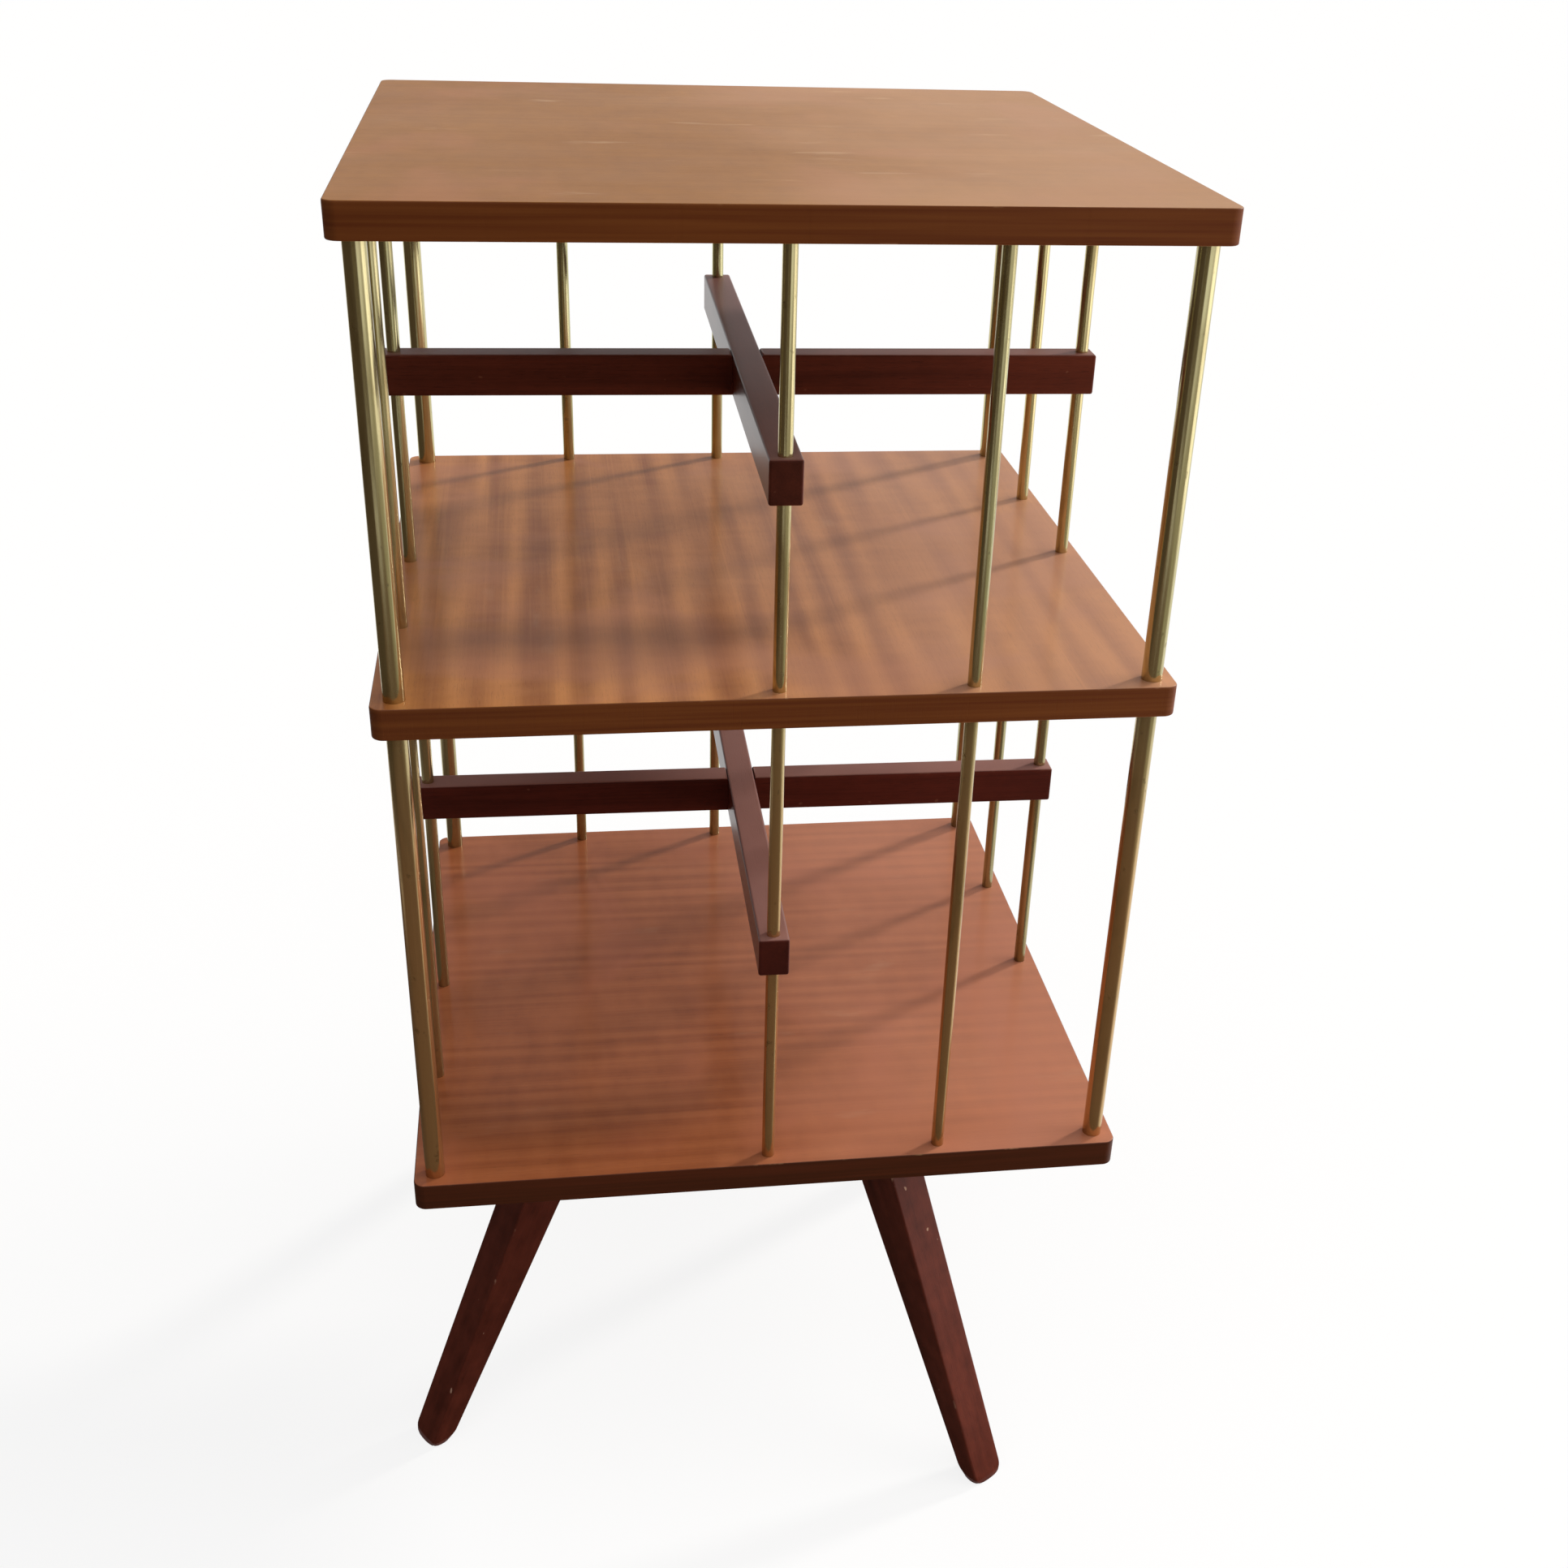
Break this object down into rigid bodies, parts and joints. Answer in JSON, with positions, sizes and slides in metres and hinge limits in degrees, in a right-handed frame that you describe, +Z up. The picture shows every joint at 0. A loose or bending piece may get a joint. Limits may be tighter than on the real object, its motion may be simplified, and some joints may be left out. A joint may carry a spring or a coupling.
{
  "type": "revolving bookcase",
  "caption": "Square bookcase of veneered shelves on brass posts and rods, with a wood cross in each tier, turning freely on a stand with splayed tapered legs.",
  "frame": {"origin": "on the floor under the turning axis, midway between the feet", "axes": "+Z up along the turning axis, -Y the front of the case as pictured, +X its right side"},
  "size_m": [0.4976, 0.4976, 0.87],
  "materials": {
    "shelf_veneer": "satin varnished mahogany veneer",
    "cross_wood": "dark satin varnished mahogany",
    "leg_wood": "dark satin varnished mahogany, a little worn",
    "brass": "polished, slightly aged",
    "steel": "plain zinc-grey"
  },
  "bodies": {
    "stand": {"stand_bar_over": "leg_wood", "stand_bar_under": "leg_wood", "leg_front_right": "leg_wood", "leg_rear_right": "leg_wood", "leg_rear_left": "leg_wood", "leg_front_left": "leg_wood", "leg_pins": "cross_wood", "swivel_plate_lower": "steel", "lower_plate_screws": "steel", "swivel_rivet": "steel", "swivel_balls": "steel"},
    "case": {"shelf_top": "shelf_veneer", "shelf_middle": "shelf_veneer", "shelf_bottom": "shelf_veneer", "corner_post_upper_front_right": "brass", "corner_post_upper_rear_right": "brass", "corner_post_upper_rear_left": "brass", "corner_post_upper_front_left": "brass", "corner_post_lower_front_right": "brass", "corner_post_lower_rear_right": "brass", "corner_post_lower_rear_left": "brass", "corner_post_lower_front_left": "brass", "mid_rod_upper_front": "brass", "mid_rod_upper_right": "brass", "mid_rod_upper_rear": "brass", "mid_rod_upper_left": "brass", "mid_rod_lower_front": "brass", "mid_rod_lower_right": "brass", "mid_rod_lower_rear": "brass", "mid_rod_lower_left": "brass", "quarter_rod_upper_front": "brass", "quarter_rod_upper_right": "brass", "quarter_rod_upper_rear": "brass", "quarter_rod_upper_left": "brass", "quarter_rod_lower_front": "brass", "quarter_rod_lower_right": "brass", "quarter_rod_lower_rear": "brass", "quarter_rod_lower_left": "brass", "cross_upper_long": "cross_wood", "cross_upper_side": "cross_wood", "cross_lower_long": "cross_wood", "cross_lower_side": "cross_wood", "tie_rods": "steel", "tie_inserts": "brass", "tie_washers": "steel", "tie_nuts": "steel", "swivel_plate_upper": "steel", "upper_plate_screws": "steel"}
  },
  "joints": [
    {"name": "case_spin", "type": "hinge", "parent": "stand", "child": "case", "pos_m": [0, 0, 0.262], "axis": [0, 0, 1], "continuous": true}
  ]
}
